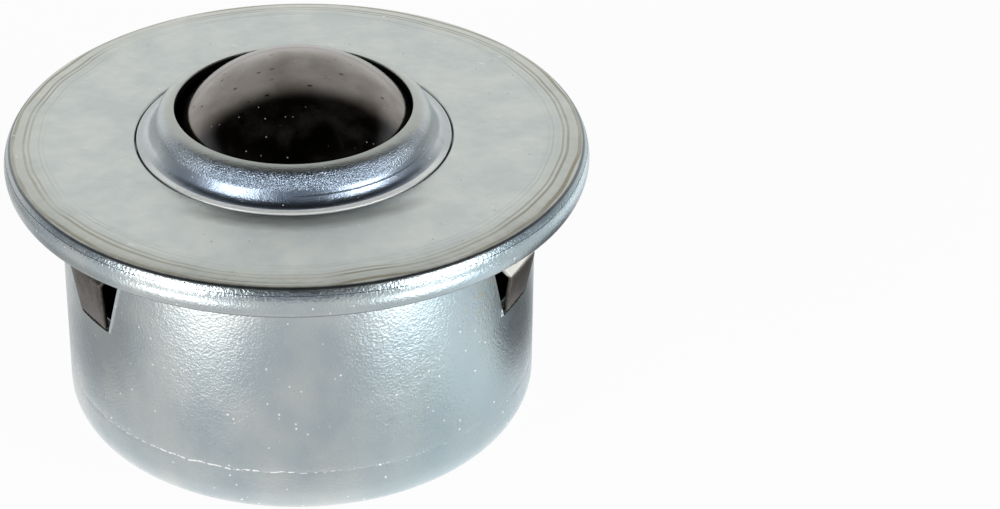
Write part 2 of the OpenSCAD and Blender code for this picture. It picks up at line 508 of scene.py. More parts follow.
@dataclass(frozen=True)
class PlateZinc(ZincPlating):
    """Zinc plating on the blanked and crimped plate.

    It gives the eye a matt, faintly green grey, with olive rings where the crimping tool turned, a dark line
    of painted shade at the edge, a painted dark reflection of the cap in front of it, and fine handling
    scratches and nicks.
    """

    name: str = "zinc_plated_blanked_plate"
    tone: str = "#D3D8D4"
    film: str = "#C8CFCD"
    cloud_mm: float = 3.2
    cloud_stretch: float = 1.0
    roughness: float = 0.38
    crystal_height: float = 0.003
    speck_share: float = 0.01
    ring_zone: Point = (18.6, 21.7)
    ring_pitch_mm: float = 0.3
    ring_drift: float = 0.5
    ring_drift_mm: float = 7.0
    ring_tone: str = "#85806F"
    edge_tone: str = "#B9B7A8"
    edge_share: float = 0.4
    edge_zone: Point = (19.5, 21.4)
    edge_end: Point = (22.0, 21.7)
    # Painted shade: a dark line at the plate's edge, where it meets the rim.
    line_r: float = 22.04
    line_w: float = 0.16
    line_share: float = 0.8
    edge_shade_tone: str = "#454A53"
    foot_r: float = 0.0
    # Painted reflection: the plate darkens in front of the cap, where it mirrors the cap's dark front wall.
    cap_reflection_tone: str = "#6E716B"
    cap_reflection_y: Point = (-10.3, -12.2)
    cap_reflection_reach: Point = (2.6, 1.5)
    cap_reflection_share: float = 0.6
    scratch_deg: float = 38.0
    scratch_pitch_mm: float = 0.6
    scratch_share: float = 0.12
    scratch_stretch: float = 10.0
    scratch_dot: Point = (0.09, 0.036)
    scratch_tone: str = "#F4F6F4"
    nick_pitch_mm: float = 0.7
    nick_share: float = 0.12
    nick_dot: Point = (0.11, 0.044)
    nick_tone: str = "#7F8480"

    def marks(self, tree: Tree, place: Node, metal: Node) -> Node:
        """Adds the tool's rings, the edge tone, the painted shade line at the edge, the painted dark
        reflection of the cap in front of it, the scratches and the nicks.
        """
        radius = off_axis(tree, place)
        drift = add(tree, "TexNoise", {"Vector": place, "Scale": 1 / self.ring_drift_mm, "Detail": 1.0})
        limits = {"Value": drift, "To Min": -self.ring_drift, "To Max": self.ring_drift}
        wander = add(tree, "MapRange", limits)
        ring_at = add(tree, "Math", {0: radius, 1: wander}, operation="ADD")
        pitch = {"W": ring_at, "Scale": 1 / self.ring_pitch_mm, "Detail": 3.0}
        rings = add(tree, "TexNoise", pitch, noise_dimensions="1D")
        rings = add(tree, "MapRange", {"Value": rings, "From Min": 0.5, "From Max": 0.62})
        reach = {"Value": radius, "From Min": self.ring_zone[0], "From Max": self.ring_zone[1]}
        zone = add(tree, "MapRange", reach, interpolation_type="SMOOTHSTEP")
        patch = add(tree, "MapRange", {"Value": drift, "From Min": 0.3, "From Max": 0.6})
        start, stop = self.edge_zone
        limits = {"Value": radius, "From Min": start, "From Max": stop, "To Max": self.edge_share}
        edge = add(tree, "MapRange", limits)
        start, stop = self.edge_end
        inside = add(tree, "MapRange", {"Value": radius, "From Min": start, "From Max": stop})
        # The dark line at the edge is painted shade.
        off_line = add(tree, "Math", {0: radius, 1: self.line_r}, operation="SUBTRACT")
        off_line = add(tree, "Math", {0: off_line}, operation="ABSOLUTE")
        start, stop = self.line_w, self.line_w * 0.3
        limits = {"Value": off_line, "From Min": start, "From Max": stop, "To Max": self.line_share}
        line = add(tree, "MapRange", limits)
        # Darker in front of the cap: a painted reflection of the cap's dark front wall.
        depth = add(tree, "SeparateXYZ", {0: place}).outputs["Y"]
        start, stop = self.cap_reflection_y
        front = add(tree, "MapRange", {"Value": depth, "From Min": start, "From Max": stop})
        start, stop = (self.foot_r + reach for reach in self.cap_reflection_reach)
        limits = {"Value": radius, "From Min": start, "From Max": stop, "To Max": self.cap_reflection_share}
        near = add(tree, "MapRange", limits)
        turned = add(tree, "VectorRotate", {"Vector": place, "Angle": math.radians(self.scratch_deg)})
        along = (1 / self.scratch_stretch, 1.0, 1.0)
        long = add(tree, "VectorMath", {0: turned, 1: along}, operation="MULTIPLY")
        scratch = spots(tree, long, self.scratch_pitch_mm, 1 - self.scratch_share, self.scratch_dot)
        nick = spots(tree, place, self.nick_pitch_mm, 1 - self.nick_share, self.nick_dot)
        coats = [
            (overlap(tree, rings, zone, patch), self.ring_tone),
            (overlap(tree, edge, inside), self.edge_tone),
            (line, self.edge_shade_tone),
            (overlap(tree, front, near), self.cap_reflection_tone),
            (scratch, self.scratch_tone),
            (nick, self.nick_tone),
        ]
        return painted(tree, metal, coats)


@dataclass(frozen=True)
class CapZinc(ZincPlating):
    """Zinc plating on the pressed cap.

    It gives the eye coarse crystals on the stretched wall, a darker blue on the front of the wall as painted
    shade with a bluish painted reflection of the dim front, a plain grey lip where the press tool ironed it
    flat, and a pale foot, near white and mostly diffuse at the front, as a painted highlight.
    """

    name: str = "zinc_plated_pressed_cap"
    tone: str = "#BFC5C6"
    film: str = "#B0B7BA"
    roughness: float = 0.33
    crystal_mm: float = 0.11
    crystal_height: float = 0.1
    speck_share: float = 0.1
    speck_pitch_mm: float = 0.2
    lip_z: float = 0.0
    plate_z: float = 0.0
    lip_drop: Point = (0.35, 0.12)
    lip_tone: str = "#B4B9B4"
    # Painted shade: the front of the wall is painted a darker blue, for the dim bluish front it faces.
    blue: str = "#8D99A8"
    front_y: Point = (-3.0, -9.0)
    crease_h: Point = (1.025, 1.275)
    plain_drop: Point = (0.05, 0.4)
    foot_h: Point = (0.045, 0.015)
    # Painted highlight: the foot's ledge is painted pale, near white and mostly diffuse at the front, for a
    # bright line of reflected light.
    foot_highlight_tones: tuple[str, str] = ("#BCC2C2", "#FDFFFB")
    foot_highlight_y: Point = (-7.5, -10.0)
    foot_highlight_metallic: float = 0.2

    def foot(self, tree: Tree, height: Socket) -> Node:
        """Marks the foot's ledge."""
        start, stop = (self.plate_z + rise for rise in self.foot_h)
        return add(tree, "MapRange", {"Value": height, "From Min": start, "From Max": stop})

    def marks(self, tree: Tree, place: Node, metal: Node) -> Node:
        """Paints the front of the wall a darker blue as painted shade, leaves the lip grey and paints the
        foot pale as a painted highlight.
        """
        axes = add(tree, "SeparateXYZ", {0: place}).outputs
        start, stop = self.front_y
        front = add(tree, "MapRange", {"Value": axes["Y"], "From Min": start, "From Max": stop})
        start, stop = (self.lip_z - drop for drop in self.lip_drop)
        lip = add(tree, "MapRange", {"Value": axes["Z"], "From Min": start, "From Max": stop})
        # The pale foot is a painted highlight.
        side, highlighted = (linear(tone) for tone in self.foot_highlight_tones)
        pale = add(tree, "Mix", {"Factor": front, "A": side, "B": highlighted}, data_type="RGBA")
        # The darker blue on the front is painted shade.
        metal = painted(tree, metal, [(front, self.blue), (lip, self.lip_tone)])
        foot = self.foot(tree, axes["Z"])
        return add(tree, "Mix", {"Factor": foot, "A": metal, "B": pale}, data_type="RGBA")

    def dress(self, tree: Tree, place: Node, shader: Node) -> None:
        """Mixes the plating, and makes the front of the foot near white and mostly diffuse, a painted
        highlight line.
        """
        super().dress(tree, place, shader)
        axes = add(tree, "SeparateXYZ", {0: place}).outputs
        start, stop = self.foot_highlight_y
        front = add(tree, "MapRange", {"Value": axes["Y"], "From Min": start, "From Max": stop})
        highlighted = overlap(tree, self.foot(tree, axes["Z"]), front)
        bare = add(tree, "MapRange", {"Value": highlighted, "To Min": 1.0, "To Max": self.foot_highlight_metallic})
        feed(tree, shader, {"Metallic": bare})

    def crystal_strength(self, tree: Tree, place: Node) -> Node:
        """Strong on the stretched front of the wall, weak on the foot and the lip."""
        axes = add(tree, "SeparateXYZ", {0: place}).outputs
        front = {"Value": axes["Y"], "From Min": 0.0, "From Max": self.front_y[1], "To Min": 0.1}
        start, stop = (self.plate_z + rise for rise in self.crease_h)
        low = {"Value": axes["Z"], "From Min": start, "From Max": stop, "To Min": 0.2}
        start, stop = (self.lip_z - drop for drop in self.plain_drop)
        high = {"Value": axes["Z"], "From Min": start, "From Max": stop, "To Min": 0.1}
        return overlap(tree, *(add(tree, "MapRange", limits) for limits in (low, high, front)))


@dataclass(frozen=True)
class ShearedEdge(Finish):
    """Sheet steel where a punch tore it.

    It gives the eye a dull grey, grainy edge round each window.
    """

    name: str = "sheared_sheet_steel"
    tone: str = "#A9ACA6"
    dark: str = "#4E504D"
    grain_mm: float = 0.22
    grain_height: float = 0.05
    metallic: float = 0.6
    roughness: float = 0.6

    def dress(self, tree: Tree, place: Node, shader: Node) -> None:
        """Adds the torn grain."""
        grain = add(tree, "TexNoise", {"Vector": place, "Scale": 1 / self.grain_mm, "Detail": 2.0})
        tones = ((0.42, linear(self.dark)), (0.6, linear(self.tone)))
        colour = add(tree, "ValToRGB", {"Fac": grain}, stops=tones)
        relief = add(tree, "Bump", {"Height": grain, "Distance": self.grain_height * MM})
        feed(tree, shader, {"Metallic": self.metallic, "Roughness": self.roughness})
        feed(tree, shader, {"Base Color": colour, "Normal": relief})


@dataclass(frozen=True)
class PolishedBearingSteel(Finish):
    """Hardened chrome steel, ground and lapped to a mirror.

    It gives the eye a dark mirror with a warm cast, with a few dark pits and pale dust specks.
    """

    name: str = "polished_bearing_steel"
    tone: str = "#827D78"
    dull: str = "#6C665F"
    cloud_mm: float = 2.5
    pit_tone: str = "#1E1A17"
    dust_tone: str = "#9A958F"
    roughness: float = 0.13
    pit_pitch_mm: float = 0.8
    pit_share: float = 0.7
    pit_stretch: float = 2.2
    dust_pitch_mm: float = 0.5
    dust_share: float = 0.25
    dot: Point = (0.16, 0.064)
    haze: float = 0.05

    def dress(self, tree: Tree, place: Node, shader: Node) -> None:
        """Adds clouds, pits and dust to the lapped metal."""
        cloud = add(tree, "TexNoise", {"Vector": place, "Scale": 1 / self.cloud_mm, "Detail": 4.0})
        tones = ((0.35, linear(self.dull)), (0.65, linear(self.tone)))
        metal = add(tree, "ValToRGB", {"Fac": cloud}, stops=tones)
        long = add(tree, "VectorMath", {0: place, 1: (1 / self.pit_stretch, 1.0, 1.0)}, operation="MULTIPLY")
        pit = spots(tree, long, self.pit_pitch_mm, 1 - self.pit_share, self.dot)
        dust = spots(tree, place, self.dust_pitch_mm, 1 - self.dust_share, self.dot)
        limits = {"Value": cloud, "From Min": 0.45, "From Max": 0.75, "To Max": self.haze}
        haze = add(tree, "MapRange", limits)
        dust = add(tree, "Math", {0: dust, 1: haze}, operation="MAXIMUM")
        colour = painted(tree, metal, [(pit, self.pit_tone), (dust, self.dust_tone)])
        bare = add(tree, "Math", {0: 1.0, 1: dust}, operation="SUBTRACT")
        feed(tree, shader, {"Roughness": self.roughness, "Metallic": bare, "Base Color": colour})


@dataclass(frozen=True)
class TemperedSpringSteel(Finish):
    """Blanked and bent spring strip, hardened and tempered.

    It gives the eye a dark warm grey with a rolled grain; the shoulder above the ridge can be painted near
    white and mostly diffuse, a painted highlight where it faces the light.
    """

    name: str = "tempered_spring_steel"
    tone: str = "#716B64"
    dark: str = "#55504B"
    # Painted highlight: bright is painted near white and mostly diffuse on the shoulder above the ridge.
    bright: str = "#FFFBF2"
    grain_mm: float = 0.2
    grain_height: float = 0.012
    blotch_mm: float = 1.2
    roughness: float = 0.36
    shoulder_highlight_z: Point = (1000.0, 1000.0)
    shoulder_highlight_metallic: float = 0.1

    def dress(self, tree: Tree, place: Node, shader: Node) -> None:
        """Adds the rolled grain, blotches and the shoulder's painted highlight."""
        grain = add(tree, "TexNoise", {"Vector": place, "Scale": 1 / self.grain_mm, "Detail": 3.0})
        blotch = add(tree, "TexNoise", {"Vector": place, "Scale": 1 / self.blotch_mm, "Detail": 3.0})
        mixed = add(tree, "Mix", {"Factor": 0.5, "A": grain, "B": blotch})
        tones = ((0.4, linear(self.dark)), (0.6, linear(self.tone)))
        colour = add(tree, "ValToRGB", {"Fac": mixed}, stops=tones)
        height = add(tree, "SeparateXYZ", {0: place}).outputs["Z"]
        # The shoulder's bright tone is a painted highlight.
        start, stop = self.shoulder_highlight_z
        lit_shoulder = add(tree, "MapRange", {"Value": height, "From Min": start, "From Max": stop})
        relief = add(tree, "Bump", {"Height": grain, "Distance": self.grain_height * MM})
        bare = add(tree, "MapRange", {"Value": lit_shoulder, "To Min": 1.0, "To Max": self.shoulder_highlight_metallic})
        feed(tree, shader, {"Roughness": self.roughness, "Metallic": bare, "Normal": relief})
        feed(tree, shader, {"Base Color": painted(tree, colour, [(lit_shoulder, self.bright)])})


# ---------------------------------------------------------------- sub-assemblies


class Side(Enum):
    """Where a claw is, as its names say it."""

    LEFT = "left"
    RIGHT = "right"
    REAR = "rear"


@dataclass
class Sheet:
    """Heights and radii that the sheet-metal pieces share, read from the frame."""

    sheet_t: float = 0.85
    plate_t: float = 0.9
    cap_t: float = 0.65
    roll_deg: float = 78.0
    corner_r: float = 0.5
    corner_drop: float = 0.42
    flank_r: float = 2.0
    belly_deg: float = -28.0
    flank_deg: float = 35.0
    seam_drop: float = 0.76
    seam_wave: float = 0.16
    seam_burr: float = 0.035
    seam_gap: float = 0.04
    flank_step: float = 0.06
    section_step: float = 0.6
    flange_r: float = field(init=False)
    plate_z: float = field(init=False)
    stack_r: float = field(init=False)
    lip_z: float = field(init=False)

    def __post_init__(self) -> None:
        """Reads the outer sizes."""
        self.flange_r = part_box("housing")[1].x / MM
        self.plate_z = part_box("top_plate")[1].z / MM
        self.stack_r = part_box("top_plate")[1].x / MM
        self.lip_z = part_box("retaining_cap")[1].z / MM

    @property
    def brim_top_z(self) -> float:
        """Height of the cap's brim, under the plate."""
        return self.plate_z - self.plate_t

    @property
    def brim_z(self) -> float:
        """Height of the underside of the cap's brim."""
        return self.brim_top_z - self.cap_t

    @property
    def corner_z(self) -> float:
        """Height at which the plate's corner runs into the flank that it shares with the rim."""
        return self.plate_z - self.corner_drop

    def edge(self) -> list[Point]:
        """Outline of the plate's edge, from the flank over the corner and the gentle roll to the flat."""
        corner = facing(self.flank(self.corner_z), self.corner_r, self.flank_deg, self.roll_deg, 10)
        roll_r = (self.plate_z - corner[-1][1]) / (1 - math.sin(math.radians(self.roll_deg)))
        return joined(corner, facing(corner[-1], roll_r, self.roll_deg, 90, 24))

    @property
    def flank_z(self) -> float:
        """Height at which the flank becomes upright."""
        return self.corner_z - self.flank_r * math.sin(math.radians(self.flank_deg))

    def flank(self, height: float) -> Point:
        """The point of the flank at a height."""
        rise = height - self.flank_z
        return self.flange_r - self.flank_r + math.sqrt(self.flank_r**2 - rise**2), height

    def flank_run(self, start_z: float) -> list[Point]:
        """Points of the flank from a height to the seam."""
        heights = straight((0, start_z), (0, self.plate_z - self.seam_drop), self.flank_step)
        return [self.flank(height) for _, height in heights]

    def wall_run(self, start: Point, stop: Point) -> list[Point]:
        """Points of a straight stretch of a drawn wall, both ends included."""
        return straight(start, stop, self.section_step)

    def seam_z(self, angle: float) -> float:
        """Height of the seam between plate and rim, which wanders and is ragged with burrs."""
        wave = self.seam_wave * ring_noise(angle, self.flange_r, 9.0, 3.1)
        burr = self.seam_burr * ring_noise(angle, self.flange_r, 0.5, 7.7)
        ragged = 0.4 + ring_noise(angle, self.flange_r, 6.0, 5.2)
        return self.plate_z - self.seam_drop + wave + burr * ragged


@dataclass
class DrawnHousing:
    """The drawn pot with its flange and crimped rim, and three claw windows in its wall."""

    sheet: Sheet
    finish: Finish
    claw_angles: tuple[float, ...] = (-150.0, -30.0, 90.0)
    corner_r: float = 2.9
    flange_w: float = 4.1
    fillet_r: float = 0.7
    rim_t: float = 0.6
    bend_r: float = 0.4
    claw_t: float = 0.35
    claw_sink: float = 0.06
    tip_slant: float = 0.1
    window_low_w: float = 4.0
    window_flare: float = 3.4
    window_low_z: float = 13.095
    window_top_z: float = 18.64
    window_columns: int = 8
    wall_columns: int = 168
    floor_step: float = 1.5
    cut_edge_r: float = 0.18
    scratch_z: float = 4.6
    scratch_w: float = 0.09
    scratch_h: float = 0.02

    @property
    def wall_r(self) -> float:
        """Outer radius of the pot."""
        return self.sheet.flange_r - self.flange_w

    @property
    def flange_top_z(self) -> float:
        """Height of the flange's upper face, under the claw ring."""
        return self.sheet.brim_z - self.claw_t

    @property
    def claw_root_z(self) -> float:
        """Height of the claws' roots, just inside the claw ring."""
        return self.flange_top_z - self.claw_sink

    @property
    def columns(self) -> int:
        """How many columns a third of the pot has."""
        return self.window_columns + self.wall_columns

    def half_angle(self, point: Point) -> float:
        """Half the angle that a window takes up at a section point's height."""
        share = (point[1] - self.window_low_z) / (self.window_top_z - self.window_low_z)
        width = self.window_low_w + self.window_flare * min(1.0, max(0.0, share))
        return math.asin(width / 2 / max(point[0], self.wall_r - self.sheet.sheet_t))

    def turns(self, point: Point, sector: int) -> float:
        """Angle of a column, so that columns run along the windows' sides."""
        window, column = divmod(sector, self.columns)
        half = self.half_angle(point)
        start = math.radians(self.claw_angles[window])
        if column <= self.window_columns:
            return start + half * (2 * column / self.window_columns - 1)
        share = (column - self.window_columns) / self.wall_columns
        return start + half + (FULL_TURN / 3 - 2 * half) * share

    def outline(self) -> tuple[list[Point], range, range]:
        """Works out the pot's section.

        Returns:
            The closed section, and which of its points lie at the windows' heights on the
            outer and on the inner face, both from the bottom up.
        """
        sheet, wall, t = self.sheet, self.wall_r, self.sheet.sheet_t
        low_z, top_z, run = self.window_low_z, self.window_top_z, self.sheet.wall_run
        flange_z = self.flange_top_z - t
        rim_in = sheet.flange_r - self.rim_t
        belly = facing((sheet.flange_r, sheet.flank_z), sheet.flank_r, 0, sheet.belly_deg, 8)
        curl_r = (belly[-1][1] - flange_z) / (1 + math.sin(math.radians(sheet.belly_deg)))
        curl = facing(belly[-1], curl_r, sheet.belly_deg, -90, 14)
        scratch = [(wall, self.scratch_z + self.scratch_w * place) for place in (-1, -0.5, 0, 0.5, 1)]
        below = joined(
            straight((0.0, 0.0), (wall - self.corner_r, 0.0), self.floor_step),
            arc((wall - self.corner_r, self.corner_r), self.corner_r, -90, 0, 20),
            run((wall, self.corner_r), scratch[0]),
            scratch,
            run(scratch[-1], (wall, low_z)),
        )
        beside = run((wall, low_z), (wall, top_z))
        above = joined(
            run((wall, top_z), (wall, flange_z - self.fillet_r)),
            arc((wall + self.fillet_r, flange_z - self.fillet_r), self.fillet_r, 180, 90, 8),
            run((wall + self.fillet_r, flange_z), (curl[-1][0], flange_z)),
            list(reversed(curl)),
            list(reversed(belly)),
            sheet.flank_run(sheet.flank_z),
            run((rim_in, sheet.brim_top_z - self.tip_slant), (rim_in, self.flange_top_z)),
            arc((wall - t + self.bend_r, self.flange_top_z - self.bend_r), self.bend_r, 90, 180, 6),
            run((wall - t, self.flange_top_z - self.bend_r), (wall - t, top_z)),
        )
        within = joined(
            run((wall - t, low_z), (wall - t, self.corner_r)),
            arc((wall - self.corner_r, self.corner_r), self.corner_r - t, 0, -90, 12),
            straight((wall - self.corner_r, t), (0.0, t), self.floor_step),
        )
        section = joined(below, beside, above)
        outer = range(len(below) - 1, len(below) - 1 + len(beside))
        inner_top = len(section) - 1
        section = joined(section, [(wall - t, z) for _, z in reversed(beside)], within)
        inner = range(inner_top + len(beside) - 1, inner_top - 1, -1)
        return section, outer, inner

    def worked(self, point: Point, angle: float) -> Point:
        """Moves a point of the section to where the press and handling left it.

        Args:
            point: The section's point.
            angle: The angle round the pot in radians.

        Returns:
            The point's radius and height at that angle.
        """
        sheet = self.sheet
        radius, height = point
        if radius > sheet.flange_r - self.rim_t + TINY and height > sheet.flank_z:
            share = (height - sheet.flank_z) / (sheet.plate_z - sheet.seam_drop - sheet.flank_z)
            tip_z = sheet.seam_z(angle) - sheet.seam_gap / 2
            return sheet.flank(sheet.flank_z + share * (tip_z - sheet.flank_z))
        if abs(height - self.scratch_z) < self.scratch_w * 0.9 and radius > self.wall_r - TINY:
            across = 1 - abs(height - self.scratch_z) / self.scratch_w
            strength = ring_noise(angle, radius, 1.1, 2.4) + 0.15 + 0.6 * math.cos(angle + math.pi / 2)
            return radius - self.scratch_h * across * min(1.0, max(0.0, strength)), height
        return point

    def cut_windows(self, mesh: bmesh.types.BMesh, rows: Rows, outer: range, inner: range) -> None:
        """Opens the windows through the wall and rounds their sheared edges.

        Args:
            mesh: The pot without its windows.
            rows: Its vertices by section point and sector.
            outer: The section points beside the windows on the outer face, from the bottom up.
            inner: The same on the inner face.
        """
        holes, edges = [], []
        for window in range(len(self.claw_angles)):
            columns = range(window * self.columns, window * self.columns + self.window_columns + 1)
            for face in (outer, inner):
                for low, high in zip(face, list(face)[1:]):
                    for left, right in zip(columns, columns[1:]):
                        corners = (rows[low][left], rows[low][right], rows[high][right], rows[high][left])
                        edge = mesh.edges.get(corners[:2])
                        holes += [f for f in edge.link_faces if all(c in f.verts for c in corners)]
            loop = [(place, columns[0]) for place in range(len(outer))]
            loop += [(len(outer) - 1, column) for column in columns[1:]]
            loop += [(place, columns[-1]) for place in reversed(range(len(outer) - 1))]
            loop += [(0, column) for column in reversed(columns[1:-1])]
            for (place, column), (place_b, column_b) in zip(loop, loop[1:] + loop[:1]):
                out_pair = (rows[outer[place]][column], rows[outer[place_b]][column_b])
                in_pair = (rows[inner[place]][column], rows[inner[place_b]][column_b])
                mesh.faces.new((*out_pair, *reversed(in_pair))).material_index = 1
                edges += [mesh.edges.get(out_pair), mesh.edges.get(in_pair)]
        bmesh.ops.delete(mesh, geom=list(set(holes)), context="FACES_ONLY")
        rounding = {"offset": self.cut_edge_r, "segments": 2, "affect": "EDGES", "profile": 0.5}
        bmesh.ops.bevel(mesh, geom=edges, clamp_overlap=True, **rounding)
        bmesh.ops.remove_doubles(mesh, verts=mesh.verts, dist=TINY)

    def build(self) -> bpy.types.Object:
        """Makes the pot."""
        section, outer, inner = self.outline()
        mesh, rows = revolved(section, self.turns, len(self.claw_angles) * self.columns, self.worked)
        self.cut_windows(mesh, rows, outer, inner)
        piece = new_piece("housing_shell", mesh, self.finish.material(), ShearedEdge().material())
        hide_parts("housing")
        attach(piece, "unit")
        return piece


@dataclass
class TopPlate:
    """The blanked ring that the housing's rim is crimped against, with the tool's rings on it."""

    sheet: Sheet
    finish: Finish
    edge_finish: Finish
    hole_r: float
    crown_shift: float
    crown_margin: float = 0.3
    hole_edge_r: float = 0.2
    flat_step: float = 0.8
    ring_zone: Point = (19.0, 21.65)
    ring_step: float = 0.05
    ring_count: int = 13
    ring_depth: Point = (0.004, 0.012)
    ring_w: Point = (0.04, 0.09)
    ring_wander: float = 0.12
    ring_margin: float = 0.2
    seed: int = 11
    seed_reach: float = 50.0
    sectors: int = 720

    def __post_init__(self) -> None:
        """Draws the place, depth and width of each of the tool's rings."""
        draw = random.Random(self.seed)
        places = (self.ring_zone[0] + self.ring_margin, self.ring_zone[1])
        limits = (places, self.ring_depth, self.ring_w, (0.0, self.seed_reach))
        self.rings = [tuple(draw.uniform(*pair) for pair in limits) for _ in range(self.ring_count)]

    def worked(self, point: Point, angle: float) -> Point:
        """Presses the tool's rings into the top and lets the edge follow the seam."""
        sheet = self.sheet
        radius, height = point
        if height > sheet.corner_z and self.ring_zone[0] < radius < self.ring_zone[1]:
            depth = 0.0
            for centre, deep, wide, seed in self.rings:
                middle = centre + self.ring_wander * ring_noise(angle, 20.0, 14.0, seed)
                across = (radius - middle) / wide
                if abs(across) < 3:
                    patch = min(1.0, max(0.0, 0.55 + 1.6 * ring_noise(angle, 20.0, 8.0, seed + 9.0)))
                    depth += deep * patch * math.exp(-across * across)
            return radius, height - depth
        if height < sheet.corner_z - TINY and radius > sheet.stack_r + TINY:
            share = (sheet.corner_z - height) / (sheet.corner_z - sheet.plate_z + sheet.seam_drop)
            edge_z = sheet.seam_z(angle) + sheet.seam_gap / 2
            return sheet.flank(sheet.corner_z + share * (edge_z - sheet.corner_z))
        return point

    def build(self) -> bpy.types.Object:
        """Makes the plate."""
        sheet, low, top = self.sheet, self.ring_zone[0], self.sheet.plate_z
        hole_edge = self.hole_r + self.hole_edge_r
        edge = sheet.edge()
        section = joined(
            [(self.hole_r, sheet.brim_top_z), (sheet.stack_r, sheet.brim_top_z)],
            list(reversed(sheet.flank_run(sheet.corner_z))),
            edge,
            straight((edge[-1][0], top), (low, top), self.ring_step),
            straight((low, top), (hole_edge, top), self.flat_step),
            arc((hole_edge, top - self.hole_edge_r), self.hole_edge_r, 90, 180, 8),
        )
        mesh, _ = revolved(section, even_turns(self.sectors), self.sectors, self.worked)
        shift_crown(mesh, self.crown_shift, self.hole_r + self.crown_margin, low)
        flank_r = sheet.flank(sheet.corner_z)[0]
        for face in mesh.faces:
            face.material_index = int(face.calc_center_median().xy.length > flank_r)
        piece = new_piece("top_plate_ring", mesh, self.finish.material(), self.edge_finish.material())
        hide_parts("top_plate")
        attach(piece, "unit")
        return piece


@dataclass
class RetainingCap:
    """The pressed cap that keeps the ball in: lip, shoulder, hollow wall, foot and hidden brim.

    The press left its crown a little off the middle of the unit, and the plate's hole with it.
    """

    sheet: Sheet
    finish: Finish
    ball_gap: float = 0.9
    lip_w: float = 0.78
    cad_shoulder_r: float = 0.75
    cad_wall_deg: float = 66.0
    foot_h: float = 1.05
    lip_edge_r: float = 0.1
    lip_bow_r: float = 1.96
    shoulder_r: float = 1.4
    foot_edge_r: float = 0.1
    faces_deg: tuple[float, ...] = (84.0, 66.0, 15.0, 31.0, 86.0)
    ledge_w: float = 0.22
    back_foot_drop: float = 0.27
    back_shoulder: Point = (0.3, 0.9)
    back_lip_drop: float = 0.15
    edge_margin: float = 0.02
    hole_gap: float = 0.1
    crown_shift: float = -0.25
    crown_margin: float = 0.3
    line_z: float = 24.36
    line_w: float = 0.05
    line_depth: float = 0.03
    line_from_deg: float = -95.0
    line_to_deg: float = -15.0
    sectors: int = 480

    def lip_r(self) -> float:
        """Radius of the opening round the ball."""
        low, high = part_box("load_ball")
        ball_r = (high.x - low.x) / 2 / MM
        height = self.sheet.lip_z - (high.z + low.z) / 2 / MM
        return math.sqrt(ball_r**2 - height**2) + self.ball_gap

    def neck_r(self) -> float:
        """Radius where the foot goes down into the plate's hole."""
        wall = math.radians(self.cad_wall_deg)
        shoulder_h = self.cad_shoulder_r * (1 - math.cos(wall))
        shoulder_w = self.cad_shoulder_r * math.sin(wall)
        wall_h = self.sheet.lip_z - self.sheet.plate_z - self.foot_h - shoulder_h
        return self.lip_r() + self.lip_w + shoulder_w + wall_h / math.tan(wall) + self.foot_h

    def worked(self, point: Point, angle: float) -> Point:
        """Scribes the line that the press tool left round part of the wall."""
        radius, height = point
        across = abs(height - self.line_z) / self.line_w
        middle = math.radians(self.line_from_deg + self.line_to_deg) / 2
        reach = math.radians(self.line_to_deg - self.line_from_deg)
        away = abs(math.remainder(angle - middle, FULL_TURN)) / reach * 2
        if across > 1.5 or away > 1 or radius < self.lip_r() + self.lip_w:
            return point
        deep = self.line_depth * math.exp(-across * across * 2) * min(1.0, (1 - away) * 4)
        return radius - deep, height

    def build(self) -> bpy.types.Object:
        """Makes the cap."""
        sheet, lip, neck = self.sheet, self.lip_r(), self.neck_r()
        inner, brow, wall, hollow, end = self.faces_deg
        edge = arc((lip + self.lip_edge_r, sheet.lip_z - self.lip_edge_r), self.lip_edge_r, 180, inner, 6)
        bow = facing(edge[-1], self.lip_bow_r, inner, brow, 8)
        shoulder = facing(bow[-1], self.shoulder_r, brow, wall, 14)
        foot_end = facing((neck, sheet.plate_z - self.foot_edge_r), self.foot_edge_r, 0, end, 6)
        way = (foot_end[-1][0] - self.ledge_w - shoulder[-1][0], foot_end[-1][1] - shoulder[-1][1])
        wall_r, foot_r = hollow_radii(way, (wall, hollow, end))
        upright = facing(shoulder[-1], -wall_r, wall, hollow, 44)
        foot = facing(upright[-1], -foot_r, hollow, end, 14)
        brim = [(neck, sheet.brim_top_z), (sheet.stack_r, sheet.brim_top_z)]
        back = [
            (sheet.stack_r, sheet.brim_z),
            (neck - sheet.cap_t, sheet.brim_z),
            (neck - sheet.cap_t, sheet.plate_z - self.back_foot_drop),
            (shoulder[-1][0] - self.back_shoulder[0], shoulder[-1][1] - self.back_shoulder[1]),
            (lip + self.lip_w, sheet.lip_z - sheet.cap_t - self.back_lip_drop),
            (lip, sheet.lip_z - sheet.cap_t),
        ]
        section = joined(edge, bow, shoulder, upright, foot, list(reversed(foot_end)), brim, back)
        mesh, _ = revolved(section, even_turns(self.sectors), self.sectors, self.worked)
        shift_crown(mesh, self.crown_shift, neck + self.crown_margin, sheet.stack_r)
        for face in mesh.faces:
            middle = face.calc_center_median()
            at_edge = math.hypot(middle.x - self.crown_shift, middle.y) < lip + self.edge_margin
            face.material_index = int(at_edge and middle.z < sheet.lip_z - self.lip_edge_r)
        # Painted shade: the opening's inner edge gets a near-black finish, for the shade inside the cap.
        shaded_edge = ShearedEdge("cap_inner_edge_painted_shade", "#1C1A18", "#0E0D0C")
        piece = new_piece("retaining_cap_cover", mesh, self.finish.material(), shaded_edge.material())
        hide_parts("retaining_cap")
        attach(piece, "unit")
        return piece


